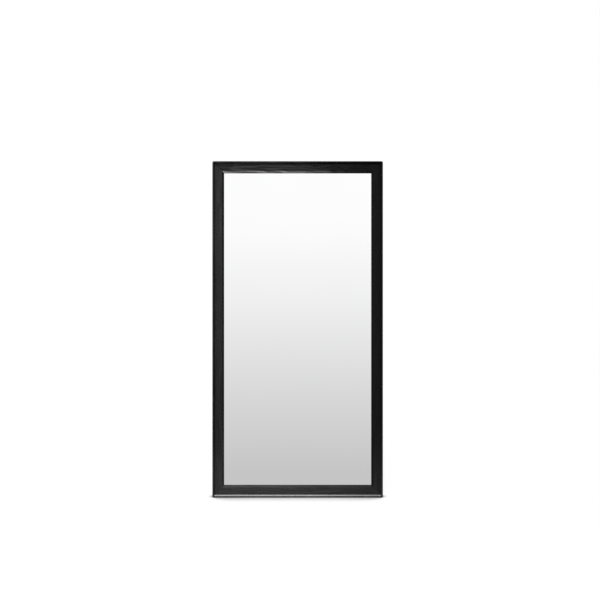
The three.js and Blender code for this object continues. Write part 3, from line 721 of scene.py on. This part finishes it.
def add_buffers():
    """Turned rubber rest buffers, each with the screw that holds it at the bottom of its bore."""
    screw = pan_screw(**BUFFER_SCREW)
    for n, level in enumerate(("lower", "upper")):
        node = f"rest_buffer_{level}"
        low, high = map(Vector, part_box(node))
        length = high.y - low.y
        mesh = mesh_of(node, turned(buffer_profile((high.x - low.x) / 2, length)))
        middle = Vector(((low.x + high.x) / 2, low.y, (low.z + high.z) / 2))
        mesh.transform(Matrix.Translation(middle) @ Matrix.Rotation(-math.pi / 2, 4, "X"))
        new_piece(f"{node}_turned", mesh, "rubber", "mirror", (node,))
        head = middle + Vector((0, length - BUFFER_BORE_DEPTH + BUFFER_SCREW["depth"], 0))
        turn = FIRST_BUFFER_SCREW_TURN + BUFFER_SCREW_TURN * n
        seat(screw, f"buffer_screw_{level}", head, (0, 1, 0), turn, "mirror")


def in_mitre(face, way, corner):
    """Whether a face lies in the mitre at a corner of the frame, and faces its way."""
    off = max(abs(abs(vert.co.x - corner.x) - abs(vert.co.z - corner.z)) for vert in face.verts)
    return face.normal.dot(way) >= MITRE_FACING and off <= MITRE_SEARCH


def glue_line(moulding, way, corner):
    """A thin solid of a moulding's end face, drawn in from the moulding's surface."""
    bm = bmesh.new()
    bm.from_mesh(moulding)
    rest = [face for face in bm.faces if not in_mitre(face, way, corner)]
    bmesh.ops.delete(bm, geom=rest, context="FACES")
    bmesh.ops.remove_doubles(bm, verts=bm.verts[:], dist=WELD)
    rim = bmesh.ops.inset_region(bm, faces=bm.faces[:], thickness=GLUE_BELOW, use_even_offset=True)
    bmesh.ops.delete(bm, geom=rim["faces"], context="FACES")
    bmesh.ops.translate(bm, verts=bm.verts[:], vec=way * GLUE_GAP)
    made = bmesh.ops.extrude_face_region(bm, geom=bm.faces[:], use_keep_orig=True)["geom"]
    moved = [item for item in made if isinstance(item, bmesh.types.BMVert)]
    bmesh.ops.translate(bm, verts=moved, vec=way * GLUE_THICKNESS)
    bmesh.ops.recalc_face_normals(bm, faces=bm.faces[:])
    return bm


def add_mitre_glue():
    """A line of dark glue in each of the frame's mitres."""
    for side, x, sx in (("left", FRAME_LOW.x, 1), ("right", FRAME_HIGH.x, -1)):
        stile = frame["nodes"][f"frame_{side}_stile"].data
        for end, z, sz in (("bottom", FRAME_LOW.z, -1), ("top", FRAME_HIGH.z, 1)):
            name = f"mitre_glue_{end}_{side}"
            line = glue_line(stile, Vector((sx, 0, sz)).normalized(), Vector((x, 0, z)))
            new_piece(name, mesh_of(name, line), "stained_wood", "mirror", material=DARK_GLUE)


def cage_bend(radius, z, y):
    """A quarter bend between the web's face at y and the arm's face at z."""
    turns = quarter_turn(CAGE_BEND_STEPS)
    return [(z - radius * (1 - math.sin(a)), y - radius * (1 - math.cos(a))) for a in turns]


def cage_strip(length, half_height, web_back, arm_end):
    """A channel of bent strip along X: its web at web_back and its arms reaching to arm_end, along Y."""
    outer = half_height + CAGE_SHEET / 2
    inner = outer - CAGE_SHEET
    outside = cage_bend(CAGE_BEND_RADIUS + CAGE_SHEET, outer, web_back) + [(outer, arm_end)]
    inside = cage_bend(CAGE_BEND_RADIUS, inner, web_back - CAGE_SHEET) + [(inner, arm_end)]
    half = outside + inside[::-1]
    section = half + [(-z, y) for z, y in reversed(half)]
    bm = bmesh.new()
    ends = [[bm.verts.new((x, y, z)) for z, y in section] for x in (0.0, length)]
    for s in range(len(section)):
        t = (s + 1) % len(section)
        bm.faces.new((ends[0][s], ends[0][t], ends[1][t], ends[1][s]))
    for end in ends:
        bm.faces.new(end)
    bmesh.ops.recalc_face_normals(bm, faces=bm.faces)
    return bm


def cylinder(bm, sides, radius, height):
    """Adds a capped cylinder about Z, its middle at zero, and gives its vertices."""
    made = bmesh.ops.create_cone(bm, segments=sides, radius1=radius, radius2=radius, depth=height,
                                 cap_ends=True)
    return made["verts"]


def even_places(count, length):
    """The middles of so many equal stretches of a length."""
    return [(i + 0.5) * length / count for i in range(count)]


def cage_cutter(length, half_height, web_back, ball_depth, ball_radius):
    """The cage's windows, with round ends, and its ball pockets."""
    bm = bmesh.new()
    wide, tall = CAGE_WINDOW
    end = tall / 2
    straight = wide / 2 - end
    for middle in even_places(CAGE_WINDOWS, length):
        for vert in cylinder(bm, WINDOW_SIDES, 1.0, 1.0):
            x, y, z = vert.co
            reach = straight if x > 0 else -straight
            vert.co = (middle + reach + x * end, web_back + z * CAGE_SHEET * CUTTER_LENGTHS, y * end)
    for middle in even_places(BALLS_IN_ROW, length):
        made = cylinder(bm, POCKET_SIDES, ball_radius + BALL_CLEARANCE, half_height * CUTTER_LENGTHS)
        bmesh.ops.translate(bm, verts=made, vec=(middle, ball_depth, 0))
    bmesh.ops.recalc_face_normals(bm, faces=bm.faces)
    return bm


def ball_rows(length, radius, start, half_height):
    """Two rows of balls along X, over and under the start of the cage's middle line."""
    balls = bmesh.new()
    for middle in even_places(BALLS_IN_ROW, length):
        for side in (-1, 1):
            place = start + Vector((middle, 0, side * half_height))
            bmesh.ops.create_uvsphere(balls, u_segments=BALL_SEGMENTS, v_segments=BALL_SEGMENTS // 2,
                                      radius=radius, matrix=Matrix.Translation(place))
    return balls


def add_cages():
    """Each ball cage as a bent strip with pockets, and its balls of polished steel."""
    for kind, radius in BALL_RADIUS.items():
        for level in ("lower", "upper"):
            node = f"{kind}_ball_cage_{level}"
            body = f"{level}_{kind}_cage"
            low, high = map(Vector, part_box(node))
            length = high.x - low.x
            half_height = (high.z - low.z) / 2 - radius
            middle = (low.z + high.z) / 2
            ball_depth = low.y + BALL_FROM_ARM_END
            strip = mesh_of(node, cage_strip(length, half_height, high.y, low.y))
            strip = cut(strip, cage_cutter(length, half_height, high.y, ball_depth, radius), node)
            strip.transform(Matrix.Translation((low.x, 0, middle)))
            new_piece(f"{node}_strip", strip, "grey_plastic", body, (node,))
            row_start = Vector((low.x, ball_depth, middle))
            balls = mesh_of("balls", ball_rows(length, radius, row_start, half_height))
            new_piece(f"{kind}_balls_{level}", balls, "zinc_steel", body, material=BALL_STEEL)


# Light and background
def background(tree, colour, strength):
    return tree.add("ShaderNodeBackground", {"Color": colour, "Strength": strength}).outputs[0]


def build_world():
    """White for the camera, even light for matt surfaces, and a toned room for glossy ones."""
    world = bpy.data.worlds.new("studio")
    scene.world = world
    world.use_nodes = True
    tree = Tree(world.node_tree)
    axes = tree.axes(tree.add("ShaderNodeTexCoord").outputs["Generated"])
    # each share is 0 at the low end of its axis, 0.5 level with the middle and 1 at the high end
    across, ahead, height = [tree.math("MULTIPLY_ADD", axes[name], 0.5, 0.5) for name in "XYZ"]
    side = tree.mix(tree.ramp(ahead, ROOM_BEHIND), tree.ramp(across, ROOM_BY_SIDE), rgba(BEHIND_LEVEL))
    room = tree.product(tree.ramp(height, ROOM_BY_HEIGHT), side)
    path = tree.add("ShaderNodeLightPath").outputs
    clear_rays = tree.math("MAXIMUM", path["Is Glossy Ray"], path["Is Transmission Ray"])
    white = rgba(1.0)
    lit = tree.mix_shader(clear_rays, background(tree, white, WORLD_LEVEL), background(tree, room, 1.0))
    shown = tree.mix_shader(path["Is Camera Ray"], lit, background(tree, white, 1.0))
    tree.add("ShaderNodeOutputWorld", {"Surface": shown})


def white_floor():
    """White to the camera but for the shade near the foot, and a plain matt floor to everything else."""
    material, tree = new_material("floor_white")
    nearness = tree.add("ShaderNodeAmbientOcclusion", {"Distance": CONTACT_REACH}).outputs["AO"]
    contact = tree.ramp(nearness, CONTACT_SHADE)
    glow = tree.add("ShaderNodeEmission", {"Color": contact, "Strength": FLOOR_GLOW}).outputs[0]
    matt = tree.add("ShaderNodeBsdfDiffuse", {"Color": rgba(FLOOR_UNSEEN)}).outputs[0]
    dimmed = tree.product(contact, rgba(FLOOR_MATT))
    faint = tree.add("ShaderNodeBsdfDiffuse", {"Color": dimmed}).outputs[0]
    both = tree.add("ShaderNodeAddShader", {0: glow, 1: faint}).outputs[0]
    camera_ray = tree.add("ShaderNodeLightPath").outputs["Is Camera Ray"]
    tree.finish(tree.mix_shader(camera_ray, matt, both))
    return material


def build_floor():
    bm = bmesh.new()
    bmesh.ops.create_grid(bm, size=FLOOR_REACH)
    floor = bpy.data.objects.new("floor", mesh_of("floor", bm))
    scene.collection.objects.link(floor)
    floor.location.z = cad_bounds[0][2] - FLOOR_GAP
    floor.visible_glossy = False
    floor.data.materials.append(white_floor())


def build_lights():
    light = bpy.data.lights.new("key", "AREA")
    light.shape = "SQUARE"
    light.size = KEY_SIZE
    light.energy = KEY_POWER
    key = bpy.data.objects.new("key", light)
    scene.collection.objects.link(key)
    key.visible_camera = False
    key.location = KEY_PLACE
    aim = (FRAME_LOW + FRAME_HIGH) / 2 - Vector(KEY_PLACE)
    key.rotation_euler = aim.to_track_quat("-Z", "Y").to_euler()
    # the lamp lights everything but the glass, which would show it as a white square
    unlit = bpy.data.collections.new("unlit_by_key")
    unlit.objects.link(frame["nodes"]["mirror_glass"])
    unlit.collection_objects[0].light_linking.link_state = "EXCLUDE"
    key.light_linking.receiver_collection = unlit


def build_camera():
    metre_per_px = (FRAME_HIGH.z - FRAME_LOW.z) / FRAME_HEIGHT_PX
    middle = (FRAME_LOW + FRAME_HIGH) / 2
    photo_middle_px = PHOTO_SIDE_PX / 2
    data = bpy.data.cameras.new("camera")
    data.sensor_width = SENSOR_MM
    data.sensor_fit = "HORIZONTAL"
    data.lens = SENSOR_MM * CAMERA_DISTANCE / (PHOTO_SIDE_PX * metre_per_px)
    camera = bpy.data.objects.new("camera", data)
    scene.collection.objects.link(camera)
    camera.location = (
        middle.x + (photo_middle_px - OBJECT_MIDDLE_PX[0]) * metre_per_px,
        FRAME_LOW.y - CAMERA_DISTANCE,
        middle.z + (OBJECT_MIDDLE_PX[1] - photo_middle_px) * metre_per_px,
    )
    camera.rotation_euler = (math.pi / 2, 0.0, 0.0)
    scene.camera = camera


build_camera()
dress_cad()
add_cad_screws()
add_brace_screws()
add_leaf_screws()
add_mitre_glue()
add_buffers()
add_cages()
build_world()
build_floor()
build_lights()
scene.view_settings.view_transform = "Standard"

bpy.context.view_layer.update()
